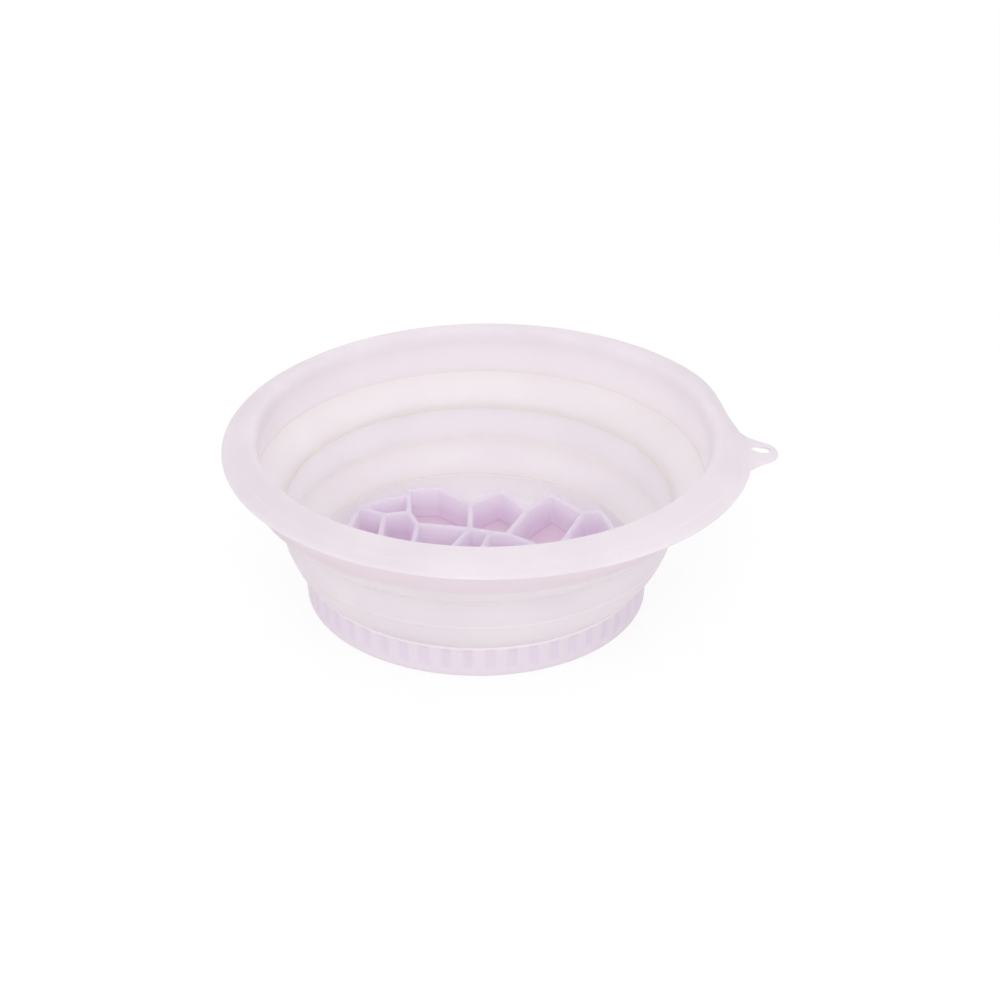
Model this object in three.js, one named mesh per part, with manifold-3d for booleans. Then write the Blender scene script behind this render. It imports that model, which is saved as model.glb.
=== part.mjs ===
import * as THREE from 'three';
import { mergeVertices, mergeGeometries } from 'three/addons/utils/BufferGeometryUtils.js';
import Module from 'manifold-3d';

// Collapsible ice basin, millimetres, +Z up, standing open on its base ring.
// The wall steps inward at four fold lines: rim collar, upper web, middle ring, lower web, base cup.

const SEGMENTS = 96;
const SEAM = 0.3; // gap left between neighbouring pieces

// Zones of the wall, as shares of the height from the base cup's top edge to the crest.
// The lower web takes the rest.
const COLLAR_SHARE = 0.3438;
const UPPER_WEB_SHARE = 0.1864;
const RING_SHARE = 0.227;

// Rim collar: upright wall with a flange that slopes down and outward
const RIM_R = 135;
const CREST_Z = 92.6;
const FLANGE_W = 20.4; // from the inside of the upright wall to the outer edge
const RIM_DROP = 8.1; // from the crest down to the middle of the outer edge
const RIM_EDGE_T = 2.4;
const COLLAR_T = 2.6;
const LIP_R = 4.2;
const BEAD_W = 5.5; // narrow band along the outer edge
const BEAD_STEP = 0.5;

// Hanging tab, drooping a little from the outer edge
const TAB_SLOPE = 0.18;
const TAB_REACH = 13.6;
const TAB_TIP_R = 8.7;
const TAB_HOLE_D = 8.5;
const TAB_ROOT = 48;
const TAB_FLARE = 60; // degrees round the tip, where the sides begin to spread
const TAB_BEND = 9.3; // how far the sides keep that direction
const TAB_T = 2.0;

// Upper fold web
const WEB1_T = 1.6;

// Middle ring
const RING_R = 102.9; // outside, at the top
const RING_TAPER = 3.6;
const RING_T = 3.9;
const RING_EDGE = 0.8;

// Lower fold web
const WEB2_BULGE = 1.6;

// Base cup with a fluted band
const BASE_TOP = 16.4; // outer top edge
const BASE_R = 88.4;
const BASE_TAPER = 0.7;
const BASE_T = 3.3;
const BASE_BEVEL = 3.0; // rise of the slanted top face toward the inside
const FLOOR_T = 4.0;
const FLOOR_FILLET = 2.6;
const FOOT_EDGE = 1.2;
const FLUTES = 50;
const FLUTE_W = 5.0;
const FLUTE_DEPTH = 0.9;
const FLUTE_LOW = 2.6;
const FLUTE_TOP_GAP = 2.2; // below the base cup's top edge

// Ice lattice: an irregular honeycomb of upright walls, the front half being the back half turned half round
const LATTICE_H = 16.2;
const LATTICE_WALL = 3.0;
const LATTICE_CLEAR = 4.9; // from the base cup's inside
const LATTICE_TURN = 3.2; // degrees about the upright axis
const POST_SIDES = 10;
const SKETCH_R = 80.2; // the radius that the junctions are drawn for
const JUNCTIONS = {
  a: [-62, 47.4], b: [-50.7, 38.8], c: [-37.5, 41.5], d: [-37.8, 57], e: [-37.7, 68],
  f: [-32.5, 28.8], g: [-21.5, 67], h: [-4.7, 50], i: [-5, 24.1], j: [6, 20.8],
  k: [11.3, 65.2], l: [25.4, 43.6], m: [14.5, 18.4], n: [38.7, 60.9], o: [52.2, 41.5],
  p: [64, 43], q: [71, 30], r: [-72, 30], s: [-77.2, 8], t: [-52, 14],
  u: [-35, 7], v: [-14, 5], w: [2, 6], x: [28, 9], y: [46, 16.5],
};
// Capitals are the same junctions turned half round
const WALLS = 'ab bc cd da de eg gh hk kl ln no op pq cf fi ih ij jm ml bt fu iv jw mx oy '
  + 'ts sr ra qS tY Yu uX Xv vW Ww';

const SILICONE = { color: 0xeee7ee, roughness: 0.42, metalness: 0 };
const WEB_SILICONE = { color: 0xefe9ec, roughness: 0.45, metalness: 0 };
const BASE_SILICONE = { color: 0xe6dbe7, roughness: 0.42, metalness: 0 };
const LATTICE_SILICONE = { color: 0xcdb0d2, roughness: 0.4, metalness: 0 };

const wallRise = CREST_Z - BASE_TOP;
const collarBottom = CREST_Z - COLLAR_SHARE * wallRise;
const ringTop = collarBottom - UPPER_WEB_SHARE * wallRise;
const ringBottom = ringTop - RING_SHARE * wallRise;

const manifold = await Module();
manifold.setup();

// Position-only welded copy without collapsed triangles
function weld(geometry) {
  const bare = new THREE.BufferGeometry();
  bare.setAttribute('position', geometry.getAttribute('position').clone());
  if (geometry.index) bare.setIndex(geometry.index.clone());
  const merged = mergeVertices(bare, 1e-4);
  const source = merged.index.array;
  const kept = [];
  for (let i = 0; i < source.length; i += 3) {
    const [a, b, c] = [source[i], source[i + 1], source[i + 2]];
    if (a !== b && b !== c && c !== a) kept.push(a, b, c);
  }
  merged.setIndex(kept);
  return merged;
}

function toManifold(geometry) {
  const solid = weld(geometry);
  return new manifold.Manifold(new manifold.Mesh({
    numProp: 3,
    vertProperties: new Float32Array(solid.getAttribute('position').array),
    triVerts: new Uint32Array(solid.index.array),
  }));
}

function toGeometry(body) {
  const mesh = body.getMesh();
  const geometry = new THREE.BufferGeometry();
  geometry.setAttribute('position', new THREE.BufferAttribute(new Float32Array(mesh.vertProperties), 3));
  geometry.setIndex(new THREE.BufferAttribute(new Uint32Array(mesh.triVerts), 1));
  return weld(geometry);
}

// Solid of revolution from a closed profile of [radius, height], listed anticlockwise
function revolve(profile) {
  const points = profile.map(([r, z]) => new THREE.Vector2(r, z));
  points.push(points[0].clone());
  const lathe = new THREE.LatheGeometry(points, SEGMENTS);
  lathe.rotateX(Math.PI / 2);
  return weld(lathe);
}

// Points of an arc from angle a0 to a1, in degrees
function arc(cr, cz, radius, a0, a1, steps) {
  const points = [];
  for (let i = 0; i <= steps; i += 1) {
    const angle = THREE.MathUtils.degToRad(a0 + (a1 - a0) * i / steps);
    points.push([cr + radius * Math.cos(angle), cz + radius * Math.sin(angle)]);
  }
  return points;
}

function extrude(shape, depth) {
  return new THREE.ExtrudeGeometry(shape, { depth, bevelEnabled: false, curveSegments: 10 });
}

function named(name, geometry, finish) {
  const mesh = new THREE.Mesh(geometry, new THREE.MeshStandardMaterial(finish));
  geometry.computeVertexNormals();
  mesh.name = name;
  return mesh;
}

// Rim collar
const rimEdgeZ = CREST_Z - RIM_DROP;
const collarR = RIM_R - FLANGE_W;
const collarOuter = collarR + COLLAR_T;
const crestR = collarR + LIP_R;
const edgeTop = rimEdgeZ + RIM_EDGE_T / 2;
const edgeLow = rimEdgeZ - RIM_EDGE_T / 2;
const slope = (CREST_Z - edgeTop) / (RIM_R - crestR);
const flangeTop = (r) => CREST_Z - (r - crestR) * slope;
const flangeLow = (r) => edgeLow + (RIM_R - RIM_EDGE_T / 2 - r) * slope;
const beadR = RIM_R - BEAD_W;

// Tab outline stood upright through a shallow cone that starts inside the outer edge
function hangingTab() {
  const root = RIM_R - 1.6;
  const spread = Math.asin(TAB_ROOT / 2 / root);
  const centre = RIM_R + TAB_REACH - TAB_TIP_R;
  const flare = THREE.MathUtils.degToRad(TAB_FLARE);
  const leave = new THREE.Vector2(centre + TAB_TIP_R * Math.cos(flare), TAB_TIP_R * Math.sin(flare));
  const bend = new THREE.Vector2(-Math.sin(flare), Math.cos(flare)).multiplyScalar(TAB_BEND).add(leave);
  const outline = new THREE.Shape();
  outline.absarc(0, 0, root, spread, -spread, true);
  outline.quadraticCurveTo(bend.x, -bend.y, leave.x, -leave.y);
  outline.absarc(centre, 0, TAB_TIP_R, -flare, flare, false);
  outline.quadraticCurveTo(bend.x, bend.y, root * Math.cos(spread), TAB_ROOT / 2);
  const hole = new THREE.Path();
  hole.absarc(centre, 0, TAB_HOLE_D / 2, 0, Math.PI * 2, true);
  outline.holes.push(hole);
  const prism = extrude(outline, CREST_Z);
  const inner = RIM_R - 3;
  const outer = RIM_R + TAB_REACH + 2;
  const top = (r) => rimEdgeZ - BEAD_STEP / 2 + TAB_T / 2 - (r - RIM_R) * TAB_SLOPE;
  const cone = revolve([
    [inner, top(inner) - TAB_T],
    [outer, top(outer) - TAB_T],
    [outer, top(outer)],
    [inner, top(inner)],
  ]);
  return toManifold(prism).intersect(toManifold(cone));
}

function rimCollar() {
  const fillet = collarOuter + 2;
  const profile = [
    [collarOuter, collarBottom],
    [collarOuter, flangeLow(fillet) - 2.6],
    [collarOuter + 0.6, flangeLow(fillet) - 0.9],
    [fillet, flangeLow(fillet)],
    [RIM_R - RIM_EDGE_T / 2, edgeLow],
    ...arc(RIM_R - RIM_EDGE_T / 2, rimEdgeZ - BEAD_STEP / 2, RIM_EDGE_T / 2, -50, 50, 3),
    [RIM_R - RIM_EDGE_T / 2, flangeTop(RIM_R - RIM_EDGE_T / 2) - BEAD_STEP],
    [beadR + 0.4, flangeTop(beadR + 0.4) - BEAD_STEP],
    [beadR, flangeTop(beadR)],
    ...arc(crestR, CREST_Z - LIP_R, LIP_R, 90 - THREE.MathUtils.radToDeg(Math.atan(slope)) * 0.6, 180, 5),
    [collarR, collarBottom],
  ];
  return toGeometry(toManifold(revolve(profile)).add(hangingTab()));
}

// Upper fold web: a cone between the collar's bottom and the middle ring's top
function upperWeb() {
  const top = collarBottom - SEAM;
  const low = ringTop + SEAM;
  return revolve([
    [RING_R - RING_T, low],
    [RING_R - RING_EDGE, low],
    [collarOuter - 0.2, top - WEB1_T],
    [collarOuter - 0.2, top],
    [collarR, top],
  ]);
}

// Middle ring: the stiff band between the two webs
const ringLowR = RING_R - RING_TAPER;

function middleRing() {
  return revolve([
    [ringLowR - RING_T, ringBottom],
    [ringLowR - RING_EDGE, ringBottom],
    [ringLowR, ringBottom + RING_EDGE],
    [RING_R, ringTop - RING_EDGE],
    [RING_R - RING_EDGE, ringTop],
    [RING_R - RING_T, ringTop],
  ]);
}

// Lower fold web: rounded in toward the base cup
const baseInnerR = BASE_R - BASE_T;
const baseInnerTop = BASE_TOP + BASE_BEVEL;

function bow(from, to, amount, t) {
  const dr = to[0] - from[0];
  const dz = to[1] - from[1];
  const length = Math.hypot(dr, dz);
  const rise = 4 * amount * t * (1 - t);
  return [from[0] + dr * t - dz / length * rise, from[1] + dz * t + dr / length * rise];
}

function lowerWeb() {
  const top = ringBottom - SEAM;
  const outerTop = [ringLowR - 0.3, top];
  const innerTop = [ringLowR - RING_T, top];
  const outerLow = [BASE_R - 0.7, BASE_TOP + 1.1];
  const innerLow = [baseInnerR + 0.1, baseInnerTop + 0.4];
  const steps = [0.2, 0.4, 0.6, 0.8];
  return revolve([
    innerLow,
    outerLow,
    ...steps.map((t) => bow(outerLow, outerTop, -WEB2_BULGE, t)),
    outerTop,
    innerTop,
    ...steps.map((t) => bow(innerTop, innerLow, WEB2_BULGE * 0.8, t)),
  ]);
}

// Base cup
function baseCup() {
  const bottomR = BASE_R - BASE_TAPER;
  const wallLow = baseInnerR - BASE_TAPER;
  const fillet = FLOOR_T + FLOOR_FILLET;
  const profile = [
    [0, 0],
    [bottomR - FOOT_EDGE, 0],
    [bottomR, FOOT_EDGE],
    [BASE_R, BASE_TOP - 0.8],
    [BASE_R, BASE_TOP],
    [baseInnerR, baseInnerTop],
    [wallLow, fillet],
    ...arc(wallLow - FLOOR_FILLET, fillet, FLOOR_FILLET, -30, -90, 2),
    [0, FLOOR_T],
  ];
  const fluteTop = BASE_TOP - FLUTE_TOP_GAP;
  const cutters = [];
  for (let i = 0; i < FLUTES; i += 1) {
    const cutter = new THREE.BoxGeometry(6, FLUTE_W, fluteTop - FLUTE_LOW);
    cutter.translate(BASE_R - FLUTE_DEPTH + 3, 0, (fluteTop + FLUTE_LOW) / 2);
    cutter.rotateZ((i + 0.5) * Math.PI * 2 / FLUTES);
    cutters.push(weld(cutter));
  }
  return toGeometry(toManifold(revolve(profile)).subtract(toManifold(mergeGeometries(cutters))));
}

// Ice lattice
function iceLattice() {
  const bottom = FLOOR_T + SEAM;
  const height = LATTICE_H;
  const reach = baseInnerR - LATTICE_CLEAR;
  const place = (key, half) => {
    const turned = (key !== key.toLowerCase()) !== half;
    const scale = (turned ? -1 : 1) * reach / SKETCH_R;
    const spot = new THREE.Vector2(...JUNCTIONS[key.toLowerCase()]).multiplyScalar(scale);
    return spot.rotateAround(new THREE.Vector2(), THREE.MathUtils.degToRad(LATTICE_TURN));
  };
  let body = null;
  const join = (geometry) => {
    const piece = toManifold(geometry);
    body = body ? body.add(piece) : piece;
  };
  for (const half of [false, true]) {
    for (const pair of WALLS.split(' ')) {
      const from = place(pair[0], half);
      const to = place(pair[1], half);
      const run = to.clone().sub(from);
      const wall = new THREE.BoxGeometry(run.length(), LATTICE_WALL, height);
      wall.rotateZ(run.angle());
      wall.translate((from.x + to.x) / 2, (from.y + to.y) / 2, bottom + height / 2);
      join(wall);
    }
    for (const key of Object.keys(JUNCTIONS)) {
      const at = place(key, half);
      const post = new THREE.CylinderGeometry(LATTICE_WALL / 2, LATTICE_WALL / 2, height, POST_SIDES);
      post.rotateX(Math.PI / 2);
      post.translate(at.x, at.y, bottom + height / 2);
      join(post);
    }
  }
  const limit = new THREE.CylinderGeometry(reach, reach, 4 * height, SEGMENTS);
  limit.rotateX(Math.PI / 2);
  return toGeometry(body.intersect(toManifold(limit)));
}

const basin = new THREE.Group();
basin.name = 'collapsible_ice_basin';
basin.add(named('rim_collar', rimCollar(), SILICONE));
basin.add(named('upper_fold_web', upperWeb(), WEB_SILICONE));
basin.add(named('middle_ring', middleRing(), SILICONE));
basin.add(named('lower_fold_web', lowerWeb(), WEB_SILICONE));
basin.add(named('base_cup', baseCup(), BASE_SILICONE));
basin.add(named('ice_lattice', iceLattice(), LATTICE_SILICONE));

export default basin;
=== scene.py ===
"""Collapsible ice basin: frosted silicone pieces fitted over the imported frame, with a plain studio.
Shapes are written in millimetres and turned into metres when a mesh is made."""

import math

import bpy
import numpy as np
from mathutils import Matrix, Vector


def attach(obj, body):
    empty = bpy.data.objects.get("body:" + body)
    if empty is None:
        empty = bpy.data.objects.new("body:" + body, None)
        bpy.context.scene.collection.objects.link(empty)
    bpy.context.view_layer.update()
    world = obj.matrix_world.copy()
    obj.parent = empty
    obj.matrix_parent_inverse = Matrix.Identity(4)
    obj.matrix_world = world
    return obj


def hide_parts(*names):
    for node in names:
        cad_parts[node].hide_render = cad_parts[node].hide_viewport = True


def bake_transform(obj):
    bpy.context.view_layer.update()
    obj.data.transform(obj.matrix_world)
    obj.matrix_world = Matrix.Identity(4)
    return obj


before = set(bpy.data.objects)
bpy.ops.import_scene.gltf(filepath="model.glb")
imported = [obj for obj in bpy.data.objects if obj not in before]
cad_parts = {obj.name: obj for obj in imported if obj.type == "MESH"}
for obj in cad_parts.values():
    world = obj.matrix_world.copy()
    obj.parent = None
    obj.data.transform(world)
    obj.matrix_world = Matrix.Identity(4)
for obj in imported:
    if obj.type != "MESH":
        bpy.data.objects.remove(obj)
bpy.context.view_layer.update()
scene = bpy.context.scene
scene.view_settings.view_transform = "Standard"

MM = 1000  # millimetres in a metre
ROUND_STEPS = 288  # steps round the webs and the ring
FOLD_ROUND = 0.15  # rounding of the corners along the inside folds

# Rim: upright collar, soft lip, and a crowned flange that steps down to a narrow bead along its edge
RIM_R = 135.0
CREST_Z = 92.6
EDGE_TOP = 85.2
COLLAR_IN, COLLAR_OUT, COLLAR_LOW = 114.6, 117.2, 66.4
COLLAR_SKIRT, COLLAR_ROUND = 1.6, 0.7  # how much lower the outside hangs than the inside, and its rounding
LIP_R, LIP_DROP, LIP_STEPS = 5.0, 9.0, 16
CREST_R = COLLAR_IN + LIP_R
FLANGE_SLOPE = (CREST_Z - EDGE_TOP) / (RIM_R - CREST_R)
FLANGE_FALL = 0.45  # share of the flange's fall that is straight; the rest steepens outward
FLANGE_T = 2.5
FLANGE_ROWS = (127.5, 125.5, 123.5, 121.8)  # radii at which the crowned top is drawn, inward
UNDER_ROWS = (123.5, 126.0, 128.5, 131.0)  # radii at which the underside is drawn, outward
NECK_RISE, NECK_REACH = 0.6, 6.0  # the flange thins by this much, this near to the collar
NECK_FILLET, NECK_OUT = 3.2, 1.0
BEAD_W, BEAD_STEP, BEAD_ROUND = 5.5, 0.55, 0.4
BEAD_FOOT, BEAD_HEAD = 0.5, 0.2  # how far the step's foot and head lie from its middle
BEAD_ROWS = (132.5, 131.2)
EDGE_UNDER, EDGE_NOSE, EDGE_IN, EDGE_SINK = 0.7, 1.1, 1.0, 0.3  # corners of the outer edge
EDGE_ROUND, EDGE_TOP_ROUND = 0.9, 0.8
RIM_ROW = 1.4  # longest run of the rim's profile

# Hanging tab, drawn out of the flange, with its round hole
TAB_REACH, TAB_TIP_R, TAB_ROOT, TAB_SINK = 13.6, 8.7, 48.0, 2.4
TAB_FLARE, TAB_BEND = math.radians(60), 9.3
TAB_FRONT = 1.2  # how much wider the tab flows out on its front side
TAB_SLOPE, TAB_DROP, TAB_DROP_RUN = 0.02, 1.6, 3.0
TAB_PULL_START, TAB_PULL_W = 13.0, 11.4  # the drawing out starts this far inside the edge, over this width
TAB_CENTRE = RIM_R + TAB_REACH - TAB_TIP_R
TAB_TIP_STEPS, TAB_SIDE_STEPS = 40, 60
TIP_TURN, TAB_TURN = 5.2, 15  # degrees to each side that hold the tip and the whole tab
TIP_STEP, TAB_STEP, RIM_STEP = 0.08, 0.25, 1.25  # degrees between the turns there and round the rest
HOLE_R, HOLE_LAND, HOLE_CUT, HOLE_SIDES = 4.25, 0.9, 9.0, 64
HOLE_LEVEL = 84.4  # height of the hole's straight land, before the tab's slope is taken off
WELD_GAP = 0.005  # points that the cut leaves this near to each other become one
SHARP_ANGLE = math.radians(48)

# Middle ring
RING_TOP, RING_LOW, RING_T = 52.2, 34.9, 3.9
RING_R_TOP, RING_R_LOW = 102.9, 99.3
RING_ROUND_TOP, RING_ROUND_LOW = 0.5, 0.6
RING_ROW = 1.5

# Base cup with its band of flutes
BASE_TOP, BASE_R, BASE_TAPER, BASE_T, BASE_BEVEL = 16.4, 88.4, 0.7, 3.3, 3.0
FLOOR_T = 4.0
BASE_FOOT_ROUND, BASE_EDGE_ROUND, BASE_FOLD_ROUND, FLOOR_ROUND = 1.2, 0.7, 0.8, 3.0
BASE_FINE_ROW, BASE_PLAIN_ROW = 0.8, 4.0
UNDERSIDE_ROW, UNDERSIDE_PLAIN = 60.0, 80.0  # the underside's only row inside the second radius
FLUTES, FLUTE_W, FLUTE_SOFT, FLUTE_DEPTH, FLUTE_SKIN = 50, 5.0, 0.9, 0.9, 1.3
FLUTE_START, FLUTE_END = (2.2, 5.2), (14.4, 16.0)  # heights over which a flute comes and goes
FLUTE_STEPS = 18

# Folding webs
WEB_TUCK, WEB_INSET = 0.2, 0.3  # how far a web's ends reach into its neighbours and lie inside their faces
UPPER_BULGE, LOWER_BULGE = 0.5, 1.6
LOWER_FOOT_IN, LOWER_FOOT_OUT, LOWER_FOOT_RISE = 0.1, 0.7, 0.3
WEB_ROWS = 44

# Ice lattice: junctions of the back half and the walls between them. Capitals are turned half round.
LATTICE_LOW, LATTICE_TOP, LATTICE_HALF = 4.3, 20.5, 1.5
LATTICE_FOOT, LATTICE_CROWN = 4.0, 1.25
FOOT_ROWS, CROWN_ROWS = 8, 7
LATTICE_TURN = math.radians(3.2)
LATTICE_REACH, LATTICE_SHIFT = 80.0, 1.4  # trimmed to this radius, then moved towards -X by this much
POST_SIDES, POST_MIN = 24, 0.05
VOXEL, SMOOTH_SHARE, SMOOTH_ROUNDS, KEPT_FACES = 0.7, 0.5, 5, 0.3  # how the walls run together
JUNCTIONS = {
    "a": (-64.5, 47.6), "b": (-50.7, 38.8), "c": (-37.5, 41.5), "d": (-38, 60.5), "e": (-38, 65),
    "f": (-32.5, 28.8), "g": (-21.5, 67), "h": (-4.7, 50), "i": (-5, 24.1), "j": (6, 20.8),
    "k": (11.3, 65.2), "l": (25.4, 43.6), "m": (14.5, 18.4), "n": (38.7, 60.9), "o": (55, 40.5),
    "p": (64, 43), "q": (68.5, 31), "r": (-67.5, 30), "s": (-77.2, 8), "t": (-52, 14),
    "u": (-35, 7), "v": (-14, 5), "w": (2, 6), "x": (28, 9), "y": (46, 16.5),
}
WALLS = (
    "ab bc cd da de eg gh hk kl ln no op pq cf fi ih ij jm ml bt fu iv jw mx oy "
    "ts sr ra qS tY Yu uX Xv vW Ww"
).split()

# Give of the soft wall, as the photo shows it
LEAN_LEVELS = (0, 10, 18, 30, 45, 56, 66, 80, 92)
LEAN_SHIFTS = (-3.0, -3.0, -3.2, -2.0, -1.5, -1.2, -0.6, 1.2, 2.3)  # along X, at those heights
FLANGE_SPAN = (CREST_R - 3, RIM_R - 4)  # radii over which the flange's own give sets in
TAB_SPAN = (RIM_R + 1, RIM_R + 8)  # radii over which it fades along the tab
DRAW_IN, DRAW_IN_AT, DRAW_IN_W = 7.0, 16, 15  # drawn in by so much, at and over so many degrees
SWELL, SWELL_AT, SWELL_W = 1.0, -34, 18
FLANGE_SHIFT, TAB_HOLD = 1.6, 0.6  # moved along X by so much, less this share at the tab
BASE_SKEW, BASE_SKEW_SPAN = 0.018, (18, 40)  # slope in plan, and the heights over which it fades
RIM_PITCH, RIM_PITCH_SPAN = 0.007, (60, 90)  # fall towards +Y, and the heights over which it sets in

# Camera, with places in metres
TURN, RISE, FAR = math.radians(3.2), math.radians(29.71), 1.504
AIM_ASIDE, AIM_HEIGHT = 0.0095, 0.0509
SENSOR_W, LENS, CLIP_END = 36, 105.4, 200

target = Vector((AIM_ASIDE * math.cos(TURN), AIM_ASIDE * math.sin(TURN), AIM_HEIGHT))
camera = bpy.data.objects.new("camera", bpy.data.cameras.new("camera"))
scene.collection.objects.link(camera)
camera.location = target + FAR * Vector(
    (math.cos(RISE) * math.sin(TURN), -math.cos(RISE) * math.cos(TURN), math.sin(RISE))
)
camera.rotation_euler = (target - camera.location).to_track_quat("-Z", "Y").to_euler()
camera.data.sensor_width = SENSOR_W
camera.data.lens = LENS
camera.data.clip_end = CLIP_END
scene.camera = camera


# Tools for shapes
def ease(low, high, x):
    """Soft step from 0 at low to 1 at high."""
    t = np.clip((x - low) / (high - low), 0, 1)
    return t * t * (3 - 2 * t)


def bell(x, centre, width):
    return np.exp(-(((x - centre) / width) ** 2))


def even(count):
    """Angles that share a full turn evenly."""
    return np.arange(count) * 2 * math.pi / count


def rounded(corners, steps=6, share=0.49):
    """Profile through corners (r, z, radius), with each corner rounded to its radius.
    A rounding takes up at most the given share of the shorter run beside it."""
    points = []
    for i, (r, z, radius) in enumerate(corners):
        if radius <= 0:
            points.append((r, z))
            continue
        corner = Vector((r, z))
        back = Vector(corners[i - 1][:2]) - corner
        ahead = Vector(corners[(i + 1) % len(corners)][:2]) - corner
        reach = share * min(back.length, ahead.length)
        back.normalize()
        ahead.normalize()
        half = back.angle(ahead) / 2
        cut = min(radius / math.tan(half), reach)
        centre = corner + (back + ahead).normalized() * cut / math.cos(half)
        first, last = corner + back * cut - centre, corner + ahead * cut - centre
        turn = math.atan2(first.x * last.y - first.y * last.x, first.dot(last))
        for k in range(steps + 1):
            a = turn * k / steps
            c, s = math.cos(a), math.sin(a)
            points.append(
                (centre.x + c * first.x - s * first.y, centre.y + s * first.x + c * first.y)
            )
    return points


def dense(points, step, closed=True):
    """The same profile with no run longer than step."""
    out = []
    count = len(points) if closed else len(points) - 1
    for i in range(count):
        a, b = np.array(points[i]), np.array(points[(i + 1) % len(points)])
        n = max(1, math.ceil(np.linalg.norm(b - a) / step))
        out += [tuple(a + (b - a) * k / n) for k in range(n)]
    return out if closed else out + [points[-1]]


def new_object(name, verts, faces):
    mesh = bpy.data.meshes.new(name)
    mesh.from_pydata([tuple(v) for v in np.asarray(verts) / MM], [], faces)
    mesh.validate()
    mesh.shade_smooth()
    obj = bpy.data.objects.new(name, mesh)
    scene.collection.objects.link(obj)
    return obj


def lathe(name, profile, turns, closed=True, form=None):
    """Turns a profile of (r, z) through the angles. form(r, z, angle) may return changed r and z."""
    segments = len(turns)
    verts, rows = [], []
    for r, z in profile:
        if r == 0:
            rows.append([len(verts)] * segments)
            verts.append((0, 0, z))
            continue
        rr, zz = np.full(segments, r), np.full(segments, z)
        if form:
            rr, zz = form(rr, zz, turns)
        rows.append(list(range(len(verts), len(verts) + segments)))
        verts += list(zip(rr * np.cos(turns), rr * np.sin(turns), zz))
    faces = []
    for j in range(len(rows) if closed else len(rows) - 1):
        low, high = rows[j], rows[(j + 1) % len(rows)]
        for i in range(segments):
            k = (i + 1) % segments
            face = [low[i], low[k], high[k], high[i]]
            faces.append([v for n, v in enumerate(face) if v not in face[:n]])
    return new_object(name, verts, faces)


def places(obj):
    """The vertices of a mesh, in metres."""
    return np.array([v.co for v in obj.data.vertices])


def set_places(obj, co):
    obj.data.vertices.foreach_set("co", co.ravel())
    obj.data.update()


def apply_all(obj):
    graph = bpy.context.evaluated_depsgraph_get()
    mesh = bpy.data.meshes.new_from_object(obj.evaluated_get(graph))
    obj.modifiers.clear()
    obj.data = mesh


def lean(obj):
    """The wall leans aside by a few millimetres with its base a little askew, the rim pitches a little,
    and the flange is drawn in beside the tab."""
    co = places(obj) * MM
    r, angle = np.hypot(co[:, 0], co[:, 1]), np.degrees(np.arctan2(co[:, 1], co[:, 0]))
    flange = ease(*FLANGE_SPAN, r)
    draw = DRAW_IN * bell(angle, DRAW_IN_AT, DRAW_IN_W) - SWELL * bell(angle, SWELL_AT, SWELL_W)
    r -= draw * flange * (1 - ease(*TAB_SPAN, r))
    co[:, 0] = r * np.cos(np.radians(angle)) + np.interp(co[:, 2], LEAN_LEVELS, LEAN_SHIFTS)
    co[:, 0] += FLANGE_SHIFT * flange * (1 - TAB_HOLD * ease(*TAB_SPAN, r))
    co[:, 1] = r * np.sin(np.radians(angle))
    co[:, 0] -= BASE_SKEW * co[:, 1] * (1 - ease(*BASE_SKEW_SPAN, co[:, 2]))
    co[:, 2] -= RIM_PITCH * co[:, 1] * ease(*RIM_PITCH_SPAN, co[:, 2])
    set_places(obj, co / MM)


# Shapes of the pieces
def rim_profile():
    """Upright wall, soft lip, crowned flange with a narrow bead along its edge."""
    bead = RIM_R - BEAD_W
    steep = math.atan(FLANGE_FALL * FLANGE_SLOPE * LIP_R / LIP_DROP)
    lip = [
        (CREST_R + LIP_R * math.cos(a), CREST_Z - LIP_DROP + LIP_DROP * math.sin(a), 0)
        for a in np.linspace(math.pi / 2 - steep, math.pi, LIP_STEPS)
    ]
    start, height, _ = lip[0]

    def top(r):
        t = (r - start) / (RIM_R - start)
        return height - (height - EDGE_TOP) * (FLANGE_FALL * t + (1 - FLANGE_FALL) * t * t)

    def under(r):
        return top(r) - FLANGE_T + NECK_RISE * ease(COLLAR_OUT + NECK_REACH, COLLAR_OUT, r)

    corners = [
        (COLLAR_OUT, COLLAR_LOW - COLLAR_SKIRT, COLLAR_ROUND),
        (COLLAR_OUT, under(COLLAR_OUT + NECK_OUT), NECK_FILLET),
        *[(r, under(r), 0) for r in UNDER_ROWS],
        (RIM_R - EDGE_UNDER, under(RIM_R - EDGE_ROUND), EDGE_ROUND),
        (RIM_R, EDGE_TOP - EDGE_NOSE, EDGE_ROUND),
        (RIM_R - EDGE_IN, top(RIM_R - EDGE_IN) - EDGE_SINK, EDGE_TOP_ROUND),
        *[(r, top(r) - BEAD_STEP, 0) for r in BEAD_ROWS],
        (bead + BEAD_FOOT, top(bead + BEAD_FOOT) - BEAD_STEP, BEAD_ROUND),
        (bead - BEAD_HEAD, top(bead - BEAD_HEAD), BEAD_ROUND),
        *[(r, top(r), 0) for r in FLANGE_ROWS],
        *lip,
        (COLLAR_IN, COLLAR_LOW, FOLD_ROUND),
    ]
    return dense(rounded(corners), RIM_ROW)


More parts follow.
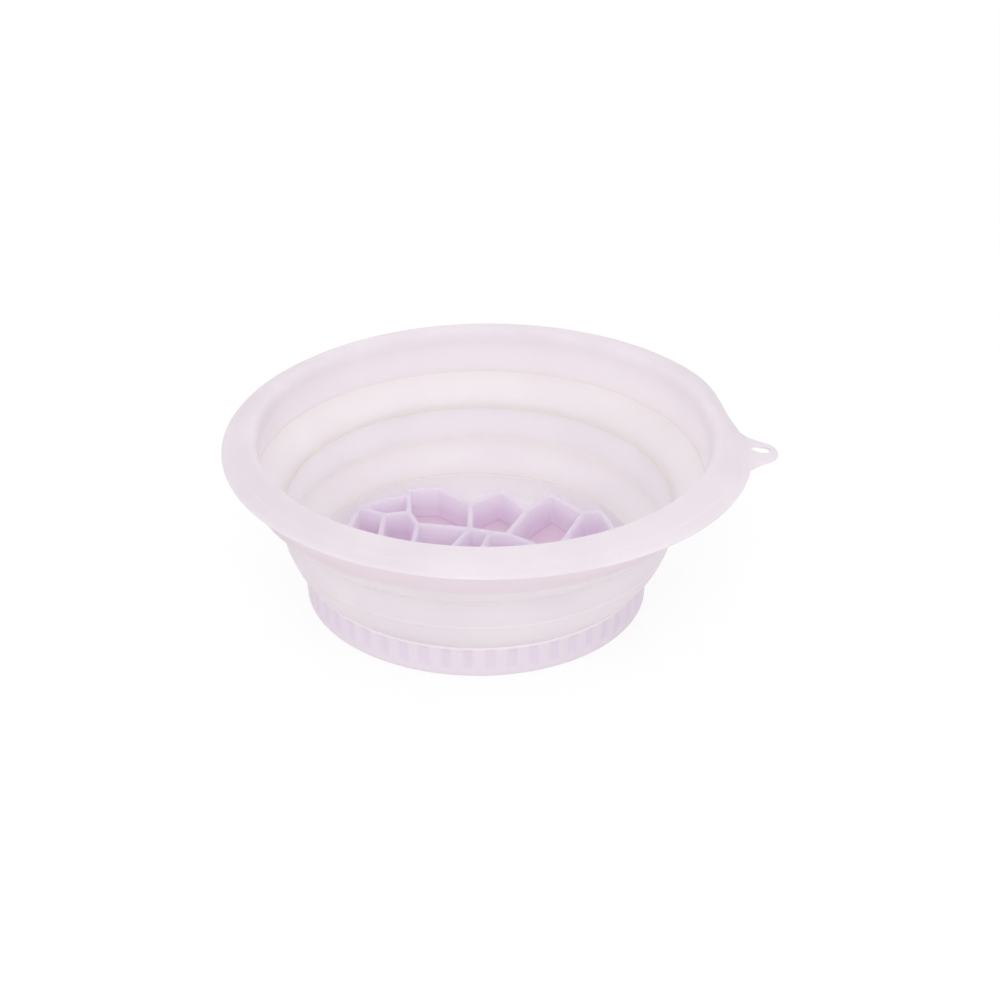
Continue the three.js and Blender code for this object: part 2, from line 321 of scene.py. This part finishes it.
def tab_outline():
    """Half of the tab's outline as angles and radii about the bowl's axis, from its tip to the rim."""
    root = RIM_R - TAB_SINK
    spread = math.asin(TAB_ROOT / 2 / root)
    start = np.array((root * math.cos(spread), root * math.sin(spread)))

    def round_tip(a):
        return np.array((TAB_CENTRE + TAB_TIP_R * math.cos(a), TAB_TIP_R * math.sin(a)))

    leave = round_tip(TAB_FLARE)
    turn = leave + TAB_BEND * np.array((-math.sin(TAB_FLARE), math.cos(TAB_FLARE)))
    tip = [round_tip(a) for a in np.linspace(0, TAB_FLARE, TAB_TIP_STEPS)]
    side = [
        (1 - t) ** 2 * leave + 2 * t * (1 - t) * turn + t * t * start
        for t in np.linspace(0, 1, TAB_SIDE_STEPS)[1:]
    ]
    line = np.array([*tip, *side])
    return np.arctan2(line[:, 1], line[:, 0]), np.hypot(line[:, 0], line[:, 1])


def hole_cutter():
    """Round cutter across the tab, with a short straight land and flared ends."""
    wide = HOLE_R + HOLE_CUT - HOLE_LAND
    profile = [
        (0, -HOLE_CUT),
        (wide, -HOLE_CUT),
        (HOLE_R, -HOLE_LAND),
        (HOLE_R, HOLE_LAND),
        (wide, HOLE_CUT),
        (0, HOLE_CUT),
    ]
    cutter = lathe("hole", profile, even(HOLE_SIDES), closed=False)
    level = HOLE_LEVEL - TAB_SLOPE * (TAB_CENTRE - RIM_R)
    cutter.location = (TAB_CENTRE / MM, 0, level / MM)
    cutter.rotation_euler = (0, math.atan(TAB_SLOPE), 0)
    bpy.context.view_layer.update()
    return cutter


def rim():
    """Collar and flange turned from one profile. The flange is drawn out into the tab with its round hole."""
    angles, radii = tab_outline()
    near = np.radians(np.concatenate([
        np.arange(0, TIP_TURN, TIP_STEP),
        np.arange(TIP_TURN, TAB_TURN, TAB_STEP),
        np.arange(TAB_TURN, 180, RIM_STEP),
    ]))
    turns = np.concatenate([near, -near[:0:-1]])

    def form(r, z, angle):
        side = (angle + math.pi) % (2 * math.pi) - math.pi
        side = np.where(side < 0, -side / TAB_FRONT, side)
        out = np.maximum(np.interp(side, angles, radii, right=RIM_R) - RIM_R, 0)
        move = out * np.clip((r - RIM_R + TAB_PULL_START) / TAB_PULL_W, 0, 1) ** 3
        return r + move, z - TAB_DROP * (1 - np.exp(-move / TAB_DROP_RUN)) - TAB_SLOPE * move

    obj = lathe("rim_collar_soft", rim_profile(), turns, form=form)
    cutter = hole_cutter()
    cut = obj.modifiers.new("hole", "BOOLEAN")
    cut.operation, cut.solver, cut.object = "DIFFERENCE", "EXACT", cutter
    weld = obj.modifiers.new("weld", "WELD")
    weld.merge_threshold = WELD_GAP / MM
    apply_all(obj)
    bpy.data.objects.remove(cutter)
    obj.data.shade_smooth()
    obj.data.set_sharp_from_angle(angle=SHARP_ANGLE)
    return obj


def folding_band(name, inner, outer, bulge):
    """Web between two rings, bowed outward. Its inner and outer side are given by their two ends (r, z)."""

    def side(ends):
        (r0, z0), (r1, z1) = ends
        run = math.hypot(r1 - r0, z1 - z0)
        nr, nz = (z1 - z0) / run, -(r1 - r0) / run
        line = []
        for k in range(WEB_ROWS + 1):
            t = 0.5 - 0.5 * math.cos(math.pi * k / WEB_ROWS)
            push = 4 * bulge * t * (1 - t)
            line.append((r0 + (r1 - r0) * t + nr * push, z0 + (z1 - z0) * t + nz * push))
        return line

    return lathe(name, side(outer) + side(inner)[::-1], even(ROUND_STEPS))


def upper_web():
    low, high = RING_TOP - WEB_TUCK, COLLAR_LOW + WEB_TUCK
    inner = [(RING_R_TOP - RING_T, low), (COLLAR_IN, high)]
    outer = [(RING_R_TOP - WEB_INSET, low), (COLLAR_OUT - WEB_TUCK, high)]
    return folding_band("upper_web_soft", inner, outer, UPPER_BULGE)


def lower_web():
    low, high = BASE_TOP + BASE_BEVEL - WEB_TUCK, RING_LOW + WEB_TUCK
    inner = [(BASE_R - BASE_T + LOWER_FOOT_IN, low), (RING_R_LOW - RING_T, high)]
    outer = [(BASE_R - LOWER_FOOT_OUT, BASE_TOP + LOWER_FOOT_RISE), (RING_R_LOW - WEB_INSET, high)]
    return folding_band("lower_web_soft", inner, outer, LOWER_BULGE)


def middle_ring():
    corners = [
        (RING_R_LOW - RING_T, RING_LOW, FOLD_ROUND),
        (RING_R_LOW, RING_LOW, RING_ROUND_LOW),
        (RING_R_TOP, RING_TOP, RING_ROUND_TOP),
        (RING_R_TOP - RING_T, RING_TOP, FOLD_ROUND),
    ]
    return lathe("middle_ring_soft", dense(rounded(corners), RING_ROW), even(ROUND_STEPS))


def flute(r, z, angle):
    """How far a point lies in a flute of the outside band, from 0 to 1."""
    pitch = 2 * math.pi / FLUTES
    across = np.abs((angle / pitch) % 1 - 0.5) * pitch * BASE_R
    inside = 1 - ease(FLUTE_W / 2 - FLUTE_SOFT, FLUTE_W / 2 + FLUTE_SOFT, across)
    tall = ease(*FLUTE_START, z) * (1 - ease(*FLUTE_END, z))
    return inside * tall * (r > BASE_R - BASE_TAPER - FLUTE_SKIN)


def base_cup():
    """Cup turned from one profile, with finer rows on its outside for the flutes."""
    inside = BASE_R - BASE_T
    profile = rounded([
        (0, 0, 0),
        (BASE_R - BASE_TAPER, 0, BASE_FOOT_ROUND),
        (BASE_R, BASE_TOP, BASE_EDGE_ROUND),
        (inside, BASE_TOP + BASE_BEVEL, BASE_FOLD_ROUND),
        (inside - BASE_TAPER, FLOOR_T, FLOOR_ROUND),
        (0, FLOOR_T, 0),
    ])
    split = next(i for i, (r, z) in enumerate(profile) if z > BASE_TOP)
    outside = dense(profile[:split], BASE_FINE_ROW, closed=False)[1:]
    rest = dense(profile[split:], BASE_PLAIN_ROW, closed=False)
    outside = [(r, z) for r, z in outside if r > UNDERSIDE_PLAIN]

    def form(r, z, angle):
        return r - FLUTE_DEPTH * flute(r, z, angle), z

    profile = [(0, 0), (UNDERSIDE_ROW, 0)] + outside + rest
    return lathe("base_cup_soft", profile, even(FLUTES * FLUTE_STEPS), closed=False, form=form)


def ice_lattice():
    """Walls with rounded tops and filleted feet, run together into one moulding."""
    quarter = math.pi / 2
    z = np.concatenate([
        LATTICE_LOW + LATTICE_FOOT * (1 - np.cos(np.linspace(0, quarter, FOOT_ROWS))),
        LATTICE_TOP - LATTICE_CROWN + LATTICE_CROWN * np.sin(np.linspace(0, quarter, CROWN_ROWS)),
    ])
    near = np.clip(LATTICE_FOOT - (z - LATTICE_LOW), 0, LATTICE_FOOT)
    high = np.clip(z - LATTICE_TOP + LATTICE_CROWN, 0, LATTICE_CROWN)
    half = LATTICE_HALF + LATTICE_FOOT - np.sqrt(LATTICE_FOOT**2 - near**2)
    half += np.sqrt(LATTICE_CROWN**2 - high**2) - LATTICE_CROWN
    section = list(zip(half, z)) + list(zip(-half[::-1], z[::-1]))
    c, s = math.cos(LATTICE_TURN), math.sin(LATTICE_TURN)
    verts, faces = [], []

    def place(key, side):
        x, y = JUNCTIONS[key.lower()]
        sign = -side if key.isupper() else side
        return sign * np.array((x * c - y * s, x * s + y * c))

    def run(loops):
        """Skin through loops of equal length, shut at both ends."""
        start, n = len(verts), len(loops[0])
        for loop in loops:
            verts.extend(loop)
        for j in range(len(loops) - 1):
            one, two = start + j * n, start + (j + 1) * n
            faces.extend([one + i, one + (i + 1) % n, two + (i + 1) % n, two + i] for i in range(n))
        faces.append([start + i for i in range(n)][::-1])
        faces.append([start + (len(loops) - 1) * n + i for i in range(n)])

    for side in (1, -1):
        for one, two in WALLS:
            a, b = place(one, side), place(two, side)
            along = (b - a) / np.linalg.norm(b - a)
            across = np.array((-along[1], along[0]))
            run([[(*(end + across * w), h) for w, h in section] for end in (a, b)])
        for key in JUNCTIONS:
            x, y = place(key, side)
            run([
                [(x + w * math.cos(t), y + w * math.sin(t), h) for t in even(POST_SIDES)]
                for w, h in zip(np.maximum(half, POST_MIN), z)
            ])

    obj = new_object("ice_lattice_soft", verts, faces)
    remesh = obj.modifiers.new("remesh", "REMESH")
    remesh.mode, remesh.voxel_size, remesh.use_smooth_shade = "VOXEL", VOXEL / MM, True
    soft = obj.modifiers.new("soft", "SMOOTH")
    soft.factor, soft.iterations = SMOOTH_SHARE, SMOOTH_ROUNDS
    thin = obj.modifiers.new("thin", "DECIMATE")
    thin.ratio = KEPT_FACES
    apply_all(obj)
    co = places(obj)
    r = np.hypot(co[:, 0], co[:, 1])
    far = r > LATTICE_REACH / MM
    co[far, :2] *= (LATTICE_REACH / MM / r[far])[:, None]
    co[:, 0] -= LATTICE_SHIFT / MM
    set_places(obj, co)
    obj.data.shade_smooth()
    return obj


# Materials. Noise is given as its scale, for a pattern in metres, and its detail.
CLOUD, CLOUD_SPAN = (26, 4), (0.36, 0.64)
GLOSS, GLOSS_LESS, GLOSS_MORE = (140, 3), 0.07, 0.09
GRAIN, GRAIN_STRENGTH, GRAIN_DEPTH = (900, 2), 0.12, 0.0004
SAG, SAG_STRENGTH, SAG_DEPTH = (30, 1), 0.1, 0.003
SILICONE_IOR, SILICONE_SPECULAR = 1.41, 0.22


def srgb(r, g, b):
    return tuple(
        (c / 255 / 12.92 if c / 255 <= 0.04045 else ((c / 255 + 0.055) / 1.055) ** 2.4)
        for c in (r, g, b)
    ) + (1,)


def silicone(name, pale, deep, rough, through, marks):
    """Frosted silicone: cloudy colour, fine matt grain, and a share of the light going through the wall.
    marks holds (attribute, colour, amount) for colours that follow the shape; several of them are painted
    light and shade."""
    mat = bpy.data.materials.new(name)
    mat.use_nodes = True
    tree = mat.node_tree
    shader = tree.nodes["Principled BSDF"]
    where = tree.nodes.new("ShaderNodeTexCoord")

    def noise(scale, detail):
        node = tree.nodes.new("ShaderNodeTexNoise")
        node.inputs["Scale"].default_value = scale
        node.inputs["Detail"].default_value = detail
        tree.links.new(where.outputs["Object"], node.inputs["Vector"])
        return node.outputs["Fac"]

    def bump(pattern, strength, depth):
        node = tree.nodes.new("ShaderNodeBump")
        node.inputs["Strength"].default_value = strength
        node.inputs["Distance"].default_value = depth
        tree.links.new(noise(*pattern), node.inputs["Height"])
        return node

    ramp = tree.nodes.new("ShaderNodeValToRGB")
    for stop, position, tint in zip(ramp.color_ramp.elements, CLOUD_SPAN, (deep, pale)):
        stop.position = position
        stop.color = srgb(*tint)
    tree.links.new(noise(*CLOUD), ramp.inputs["Fac"])
    colour = ramp.outputs["Color"]
    for attribute, tint, amount in marks:
        read = tree.nodes.new("ShaderNodeAttribute")
        read.attribute_name = attribute
        scale = tree.nodes.new("ShaderNodeMath")
        scale.operation = "MULTIPLY"
        scale.inputs[1].default_value = amount
        tree.links.new(read.outputs["Fac"], scale.inputs[0])
        mix = tree.nodes.new("ShaderNodeMix")
        mix.data_type = "RGBA"
        tree.links.new(scale.outputs[0], mix.inputs["Factor"])
        tree.links.new(colour, mix.inputs["A"])
        mix.inputs["B"].default_value = srgb(*tint)
        colour = mix.outputs["Result"]
    tree.links.new(colour, shader.inputs["Base Color"])

    spread = tree.nodes.new("ShaderNodeMapRange")
    spread.inputs["To Min"].default_value = rough - GLOSS_LESS
    spread.inputs["To Max"].default_value = rough + GLOSS_MORE
    tree.links.new(noise(*GLOSS), spread.inputs["Value"])
    tree.links.new(spread.outputs["Result"], shader.inputs["Roughness"])

    grain = bump(GRAIN, GRAIN_STRENGTH, GRAIN_DEPTH)
    sag = bump(SAG, SAG_STRENGTH, SAG_DEPTH)
    tree.links.new(grain.outputs["Normal"], sag.inputs["Normal"])
    tree.links.new(sag.outputs["Normal"], shader.inputs["Normal"])

    shader.inputs["IOR"].default_value = SILICONE_IOR
    shader.inputs["Specular IOR Level"].default_value = SILICONE_SPECULAR
    glow = tree.nodes.new("ShaderNodeBsdfTranslucent")
    tree.links.new(colour, glow.inputs["Color"])
    tree.links.new(sag.outputs["Normal"], glow.inputs["Normal"])
    mix = tree.nodes.new("ShaderNodeMixShader")
    mix.inputs["Fac"].default_value = through
    tree.links.new(shader.outputs[0], mix.inputs[1])
    tree.links.new(glow.outputs[0], mix.inputs[2])
    tree.links.new(mix.outputs[0], tree.nodes["Material Output"].inputs["Surface"])
    return mat


CREAM_FOLD = ("fold", (250, 246, 242), 0.7)
# Colour of the painted highlights along outside edges
EDGE_HIGHLIGHT = (255, 253, 253)

milky = silicone(
    "milky_silicone",
    pale=(247, 243, 246),
    deep=(244, 239, 243),
    rough=0.44,
    through=0.6,
    marks=[
        # painted light: the inside paler, standing in for light coming through the wall
        ("inner", (252, 251, 252), 0.9),
        # painted shade under the flange
        ("under", (241, 231, 236), 0.8),
        CREAM_FOLD,
        # painted highlight along the outside edges
        ("edge_highlight", EDGE_HIGHLIGHT, 0.8),
    ],
)
web = silicone(
    "web_silicone",
    pale=(249, 245, 248),
    deep=(246, 241, 245),
    rough=0.46,
    through=0.6,
    # painted shade: the web's inside a little darker than its outside
    marks=[("inner", (246, 243, 243), 0.8), CREAM_FOLD],
)
base = silicone(
    "base_silicone",
    pale=(249, 245, 246),
    deep=(246, 240, 243),
    rough=0.44,
    through=0.55,
    marks=[
        # painted light: the inside paler, standing in for light coming through the wall
        ("inner", (253, 251, 251), 0.9),
        ("band", (245, 239, 246), 1.0),
        ("flute", (240, 230, 244), 0.6),
        # painted shade on the floor between the lattice's walls
        ("floor", (240, 217, 236), 0.9),
        CREAM_FOLD,
        # painted highlight along the base's top edge
        ("edge_highlight", EDGE_HIGHLIGHT, 0.6),
    ],
)
lilac = silicone(
    "lilac_silicone",
    pale=(253, 249, 255),
    deep=(251, 246, 254),
    rough=0.4,
    through=0.55,
    # painted shade low in the cells, painted light on the wall tops
    marks=[("deep", (246, 231, 246), 0.7), ("crown_light", (252, 248, 255), 0.45)],
)


# Marks: one number for each vertex, which a material turns into colour; several of them are painted light and
# shade
FOLD_SOFT, EDGE_HIGHLIGHT_SOFT, INNER_SOFT = (0.3, 0.9), (0.5, 1.3), (-0.6, 0.6)
TOP_FOLD, RING_FOLD, LOW_FOLD = (COLLAR_LOW, 115.9), (RING_TOP, 100.9), (RING_LOW, 97.3)
BASE_FOLD = (BASE_TOP + BASE_BEVEL, 86.4)
MIDDLE_LEVELS = (4, 16, 19, RING_LOW, RING_TOP, COLLAR_LOW, 90, 92)
MIDDLE_RADII = (86.2, 86.7, 86.6, 97.4, 100.9, 115.9, 116.5, 118)  # middle of the wall at those heights
INNER_END = (80, 90)
RING_INNER_LIGHT = 0.5  # the ring gets half as much of the painted paler inside
EDGE_FROM, COLLAR_EDGE = 86, 1.4  # painted edge highlights lie outside this radius, the collar's this far below its fold
UNDER_SHADE_FROM, UNDER_SHADE_END, UNDER_SHADE_LEVELS = 116, (125, 131), (84, 89)
BAND_T, BAND_END = 2.2, (BASE_TOP - 1.4, BASE_TOP - 0.4)
CELL_SHADE_END = (66, 76)
DEEP_SHADE_END = (LATTICE_LOW, LATTICE_LOW + 10)
CROWN_LIGHT_START = (LATTICE_TOP - 1.6, LATTICE_TOP - 0.3)


def mark(obj, name, value):
    """Stores one number per vertex for the material. value takes r and z in millimetres, and the angle."""
    co = places(obj) * MM
    layer = obj.data.attributes.new(name, "FLOAT", "POINT")
    found = value(np.hypot(co[:, 0], co[:, 1]), co[:, 2], np.arctan2(co[:, 1], co[:, 0]))
    layer.data.foreach_set("value", np.asarray(found, np.float32))


def fold_mark(*lines):
    """Cream line along each fold, on the inside only. A line is (height, radius of the wall's middle)."""
    return lambda r, z, angle: np.max(
        [(1 - ease(*FOLD_SOFT, np.abs(z - level))) * (r < middle) for level, middle in lines], axis=0
    )


def edge_highlight_mark(level):
    """Painted highlight, a pale line along an outside edge."""
    return lambda r, z, angle: (1 - ease(*EDGE_HIGHLIGHT_SOFT, np.abs(z - level))) * (r > EDGE_FROM)


def inner_lighting_mark(r, z, angle):
    """The wall's inside, with a painted tone standing in for the light that comes through the translucent
    wall: paler than the outside on the rim, ring and base, a little darker on the webs.
    """
    middle = np.interp(z, MIDDLE_LEVELS, MIDDLE_RADII)
    return (1 - ease(*INNER_SOFT, r - middle)) * (1 - ease(*INNER_END, z))


def ring_inner_lighting_mark(r, z, angle):
    return RING_INNER_LIGHT * inner_lighting_mark(r, z, angle)


def under_shade_mark(r, z, angle):
    """Painted shade on the outside of the collar and in the hollow under the flange."""
    return (r > UNDER_SHADE_FROM) * (1 - ease(*UNDER_SHADE_END, r)) * (1 - ease(*UNDER_SHADE_LEVELS, z))


def band_mark(r, z, angle):
    """Outside band of the base, below its top edge."""
    return (r > BASE_R - BAND_T) * (1 - ease(*BAND_END, z))


def cell_shade_mark(r, z, angle):
    """Painted shade, tinted lilac, in the middle of the base's floor, where the lattice's cells stand."""
    return (1 - ease(*CELL_SHADE_END, r)) * (z > FLOOR_T / 2)


def deep_shade_mark(r, z, angle):
    """Painted shade at the foot of the lattice's walls, down in the cells."""
    return 1 - ease(*DEEP_SHADE_END, z)


def crown_light_mark(r, z, angle):
    """Painted light on the rounded tops of the lattice's walls."""
    return ease(*CROWN_LIGHT_START, z)


# Pieces
def finish_piece(obj, mat, node):
    obj.data.materials.clear()
    obj.data.materials.append(mat)
    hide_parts(node)
    return obj


rim_piece = finish_piece(rim(), milky, "rim_collar")
mark(rim_piece, "fold", fold_mark(TOP_FOLD))
mark(rim_piece, "edge_highlight", edge_highlight_mark(COLLAR_LOW - COLLAR_EDGE))
mark(rim_piece, "under", under_shade_mark)
mark(rim_piece, "inner", inner_lighting_mark)
lean(rim_piece)
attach(rim_piece, "rim")

ring_piece = finish_piece(middle_ring(), milky, "middle_ring")
mark(ring_piece, "fold", fold_mark(RING_FOLD, LOW_FOLD))
mark(ring_piece, "edge_highlight", edge_highlight_mark(RING_LOW))
mark(ring_piece, "inner", ring_inner_lighting_mark)
lean(ring_piece)
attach(ring_piece, "ring")

base_piece = finish_piece(base_cup(), base, "base_cup")
mark(base_piece, "flute", flute)
mark(base_piece, "fold", fold_mark(BASE_FOLD))
mark(base_piece, "edge_highlight", edge_highlight_mark(BASE_TOP))
mark(base_piece, "band", band_mark)
mark(base_piece, "floor", cell_shade_mark)
mark(base_piece, "inner", inner_lighting_mark)
lean(base_piece)
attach(base_piece, "base")

lattice_piece = finish_piece(ice_lattice(), lilac, "ice_lattice")
mark(lattice_piece, "deep", deep_shade_mark)
mark(lattice_piece, "crown_light", crown_light_mark)
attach(lattice_piece, "lattice")

upper = finish_piece(upper_web(), web, "upper_fold_web")
mark(upper, "fold", fold_mark(RING_FOLD, TOP_FOLD))
mark(upper, "inner", inner_lighting_mark)
lean(upper)
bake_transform(upper)

lower = finish_piece(lower_web(), web, "lower_fold_web")
mark(lower, "fold", fold_mark(LOW_FOLD, BASE_FOLD))
mark(lower, "inner", inner_lighting_mark)
lean(lower)
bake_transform(lower)


# Studio, with places in metres
WHITE = (1, 1, 1, 1)
FLOOR_HALF, FLOOR_LEVEL = 60000, -0.4  # in millimetres, like the other shapes
FLOOR_GREY, FLOOR_GLOW = (0.8, 0.8, 0.8, 1), 0.78
SKY_STRENGTH = 0.92
LAMP_AIM = Vector((0, 0, 0.05))


def floor_material():
    """White floor. What the camera sees of it is mostly its own white, with part of the object's shadow
    kept."""
    mat = bpy.data.materials.new("floor")
    mat.use_nodes = True
    tree = mat.node_tree
    tree.nodes.clear()
    out = tree.nodes.new("ShaderNodeOutputMaterial")
    path = tree.nodes.new("ShaderNodeLightPath")
    sheet = tree.nodes.new("ShaderNodeBsdfDiffuse")
    sheet.inputs["Color"].default_value = FLOOR_GREY
    bright = tree.nodes.new("ShaderNodeBsdfDiffuse")
    bright.inputs["Color"].default_value = WHITE
    glow = tree.nodes.new("ShaderNodeEmission")
    seen = tree.nodes.new("ShaderNodeMixShader")
    seen.inputs["Fac"].default_value = FLOOR_GLOW
    tree.links.new(bright.outputs[0], seen.inputs[1])
    tree.links.new(glow.outputs[0], seen.inputs[2])
    rays = path.outputs["Is Camera Ray"]
    for ray in ("Is Glossy Ray", "Is Transmission Ray"):
        most = tree.nodes.new("ShaderNodeMath")
        most.operation = "MAXIMUM"
        tree.links.new(rays, most.inputs[0])
        tree.links.new(path.outputs[ray], most.inputs[1])
        rays = most.outputs[0]
    mix = tree.nodes.new("ShaderNodeMixShader")
    tree.links.new(rays, mix.inputs["Fac"])
    tree.links.new(sheet.outputs[0], mix.inputs[1])
    tree.links.new(seen.outputs[0], mix.inputs[2])
    tree.links.new(mix.outputs[0], out.inputs["Surface"])
    return mat


def studio_world():
    """Soft white light from all round, and plain white where the camera sees past the floor."""
    world = bpy.data.worlds.new("studio")
    world.use_nodes = True
    tree = world.node_tree
    sky = tree.nodes["Background"]
    sky.inputs["Color"].default_value = WHITE
    sky.inputs["Strength"].default_value = SKY_STRENGTH
    white = tree.nodes.new("ShaderNodeBackground")
    white.inputs["Color"].default_value = WHITE
    path = tree.nodes.new("ShaderNodeLightPath")
    pick = tree.nodes.new("ShaderNodeMixShader")
    tree.links.new(path.outputs["Is Camera Ray"], pick.inputs["Fac"])
    tree.links.new(sky.outputs[0], pick.inputs[1])
    tree.links.new(white.outputs[0], pick.inputs[2])
    tree.links.new(pick.outputs[0], tree.nodes["World Output"].inputs["Surface"])
    return world


def lamp(name, place, size, power):
    light = bpy.data.lights.new(name, "AREA")
    light.shape, light.size, light.energy = "DISK", size, power
    obj = bpy.data.objects.new(name, light)
    scene.collection.objects.link(obj)
    obj.location = place
    obj.rotation_euler = (LAMP_AIM - obj.location).to_track_quat("-Z", "Y").to_euler()


floor_corners = [
    (x * FLOOR_HALF, y * FLOOR_HALF, FLOOR_LEVEL) for x, y in ((-1, -1), (1, -1), (1, 1), (-1, 1))
]
floor = new_object("floor", floor_corners, [(0, 1, 2, 3)])
floor.data.materials.append(floor_material())
scene.world = studio_world()
lamp("key", place=(0.0, -1.9, 1.4), size=1.6, power=13)
lamp("back", place=(-0.2, 2.2, 0.45), size=1.2, power=6)
lamp("left", place=(-2.0, -0.7, 0.45), size=0.8, power=4.5)
lamp("right", place=(2.0, -0.7, 0.45), size=0.8, power=4.5)
